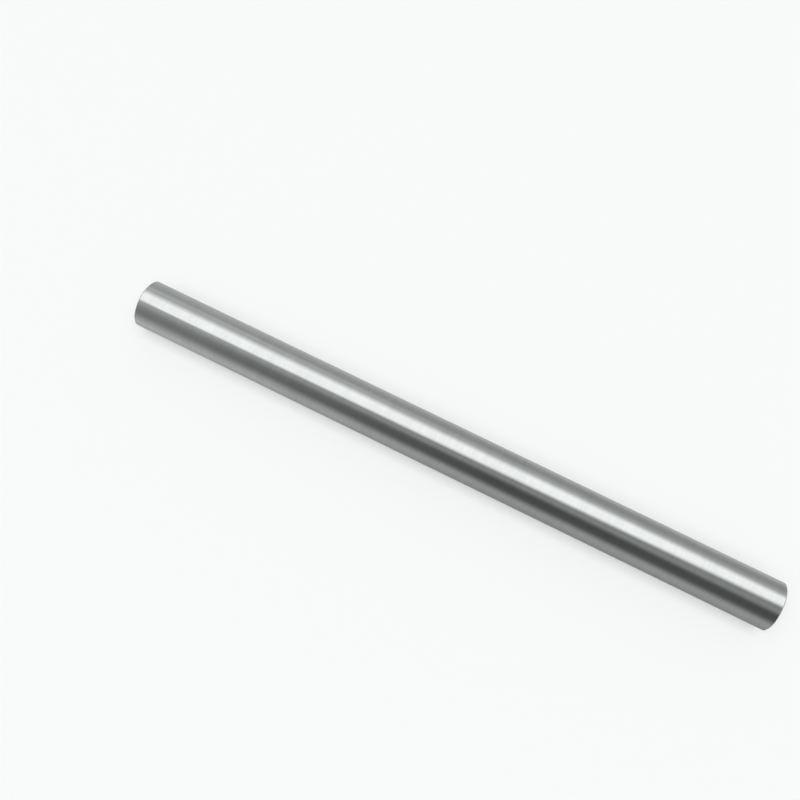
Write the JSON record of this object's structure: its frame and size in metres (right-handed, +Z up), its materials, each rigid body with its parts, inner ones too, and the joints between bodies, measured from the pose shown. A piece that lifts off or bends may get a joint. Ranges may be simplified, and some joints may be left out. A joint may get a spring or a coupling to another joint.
{
  "type": "round metal bar",
  "caption": "Solid round bar with a ground bright surface, faced ends and small end chamfers; stock for shafts, pins and turned parts.",
  "frame": {"origin": "on the bar's axis, midway between its two end faces", "axes": "+X along the bar's axis, +Y across it, +Z up; the bar lies on a surface one radius below the origin"},
  "size_m": [0.33, 0.024, 0.024],
  "materials": {
    "bright_steel": "centreless ground and polished, bare metal"
  },
  "bodies": {
    "root": {"round_bar": "bright_steel"}
  },
  "joints": []
}
